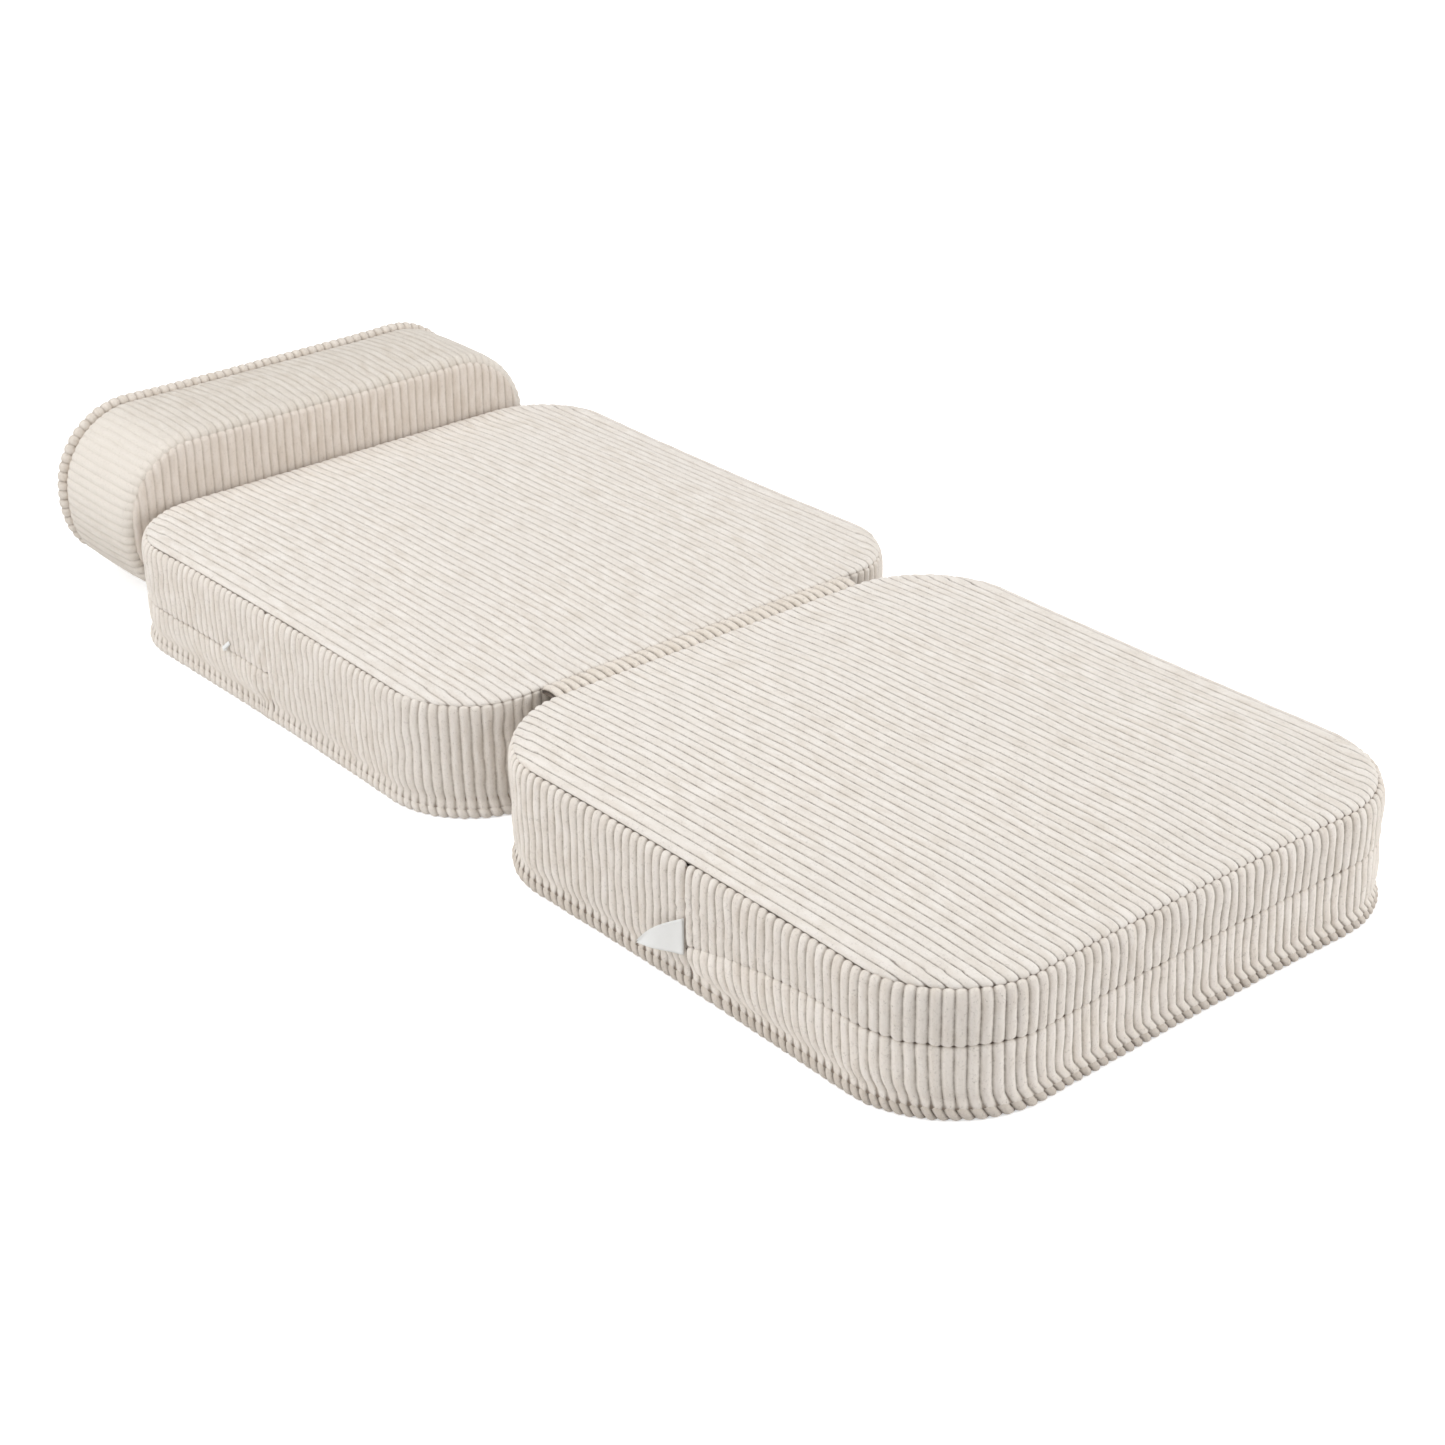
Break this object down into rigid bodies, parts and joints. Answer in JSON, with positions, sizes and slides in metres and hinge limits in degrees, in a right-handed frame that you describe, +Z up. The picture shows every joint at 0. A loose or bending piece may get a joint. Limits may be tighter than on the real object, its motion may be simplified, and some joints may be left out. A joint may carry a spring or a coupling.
{
  "type": "flip open sofa",
  "caption": "Low foam sofa for children that flips open into a lounger: zipped corduroy pads joined by cloth hinges, with a bolster that turns up as the backrest.",
  "frame": {"origin": "on the floor, under the middle of the opened sofa's bounding box", "axes": "+Z up; +Y along the opened sofa, from the front pad towards the bolster; +X across it, to the right of someone who looks along +Y"},
  "size_m": [0.6206, 1.4563, 0.199],
  "materials": {
    "corduroy": "wide-rib corduroy, soft pile, cream",
    "corduroy_edge": "wide-rib corduroy wrapped round piping, cream",
    "foam": "open-cell polyurethane foam, hidden by the cover",
    "zip_chain": "nylon coil zip on woven tape",
    "slider": "pale enamelled zip slider",
    "ribbon": "plain white woven ribbon"
  },
  "bodies": {
    "front_pad": {"front_foam_core": "foam", "front_top_panel": "corduroy", "front_bottom_panel": "corduroy", "front_hinge_band": "corduroy", "front_upper_band": "corduroy", "front_lower_band": "corduroy", "front_zip_chain": "zip_chain", "front_zip_slider": "slider", "front_pull_loop": "ribbon", "front_bottom_welt": "corduroy_edge", "front_label": "ribbon", "fold_hinge_strip": "corduroy"},
    "middle_pad": {"middle_foam_core": "foam", "middle_top_panel": "corduroy", "middle_bottom_panel": "corduroy", "middle_hinge_band": "corduroy", "middle_upper_band": "corduroy", "middle_lower_band": "corduroy", "middle_zip_chain": "zip_chain", "middle_zip_slider": "slider", "middle_pull_loop": "ribbon", "middle_bottom_welt": "corduroy_edge", "back_hinge_strip": "corduroy"},
    "back_bolster": {"bolster_foam_core": "foam", "bolster_front_panel": "corduroy", "bolster_back_panel": "corduroy", "bolster_gusset": "corduroy", "bolster_base_panel": "corduroy", "bolster_back_welt": "corduroy_edge", "bolster_zip_chain": "zip_chain", "bolster_zip_slider": "slider"}
  },
  "joints": [
    {"name": "fold_hinge", "type": "hinge", "parent": "front_pad", "child": "middle_pad", "pos_m": [0, -0.07665, 0.1305], "axis": [1, 0, 0], "range_deg": [0, 180], "deforming": ["fold_hinge_strip"]},
    {"name": "back_hinge", "type": "hinge", "parent": "middle_pad", "child": "back_bolster", "pos_m": [0, 0.571, -0.0005], "axis": [-1, 0, 0], "range_deg": [0, 179.5], "deforming": ["back_hinge_strip"]}
  ]
}
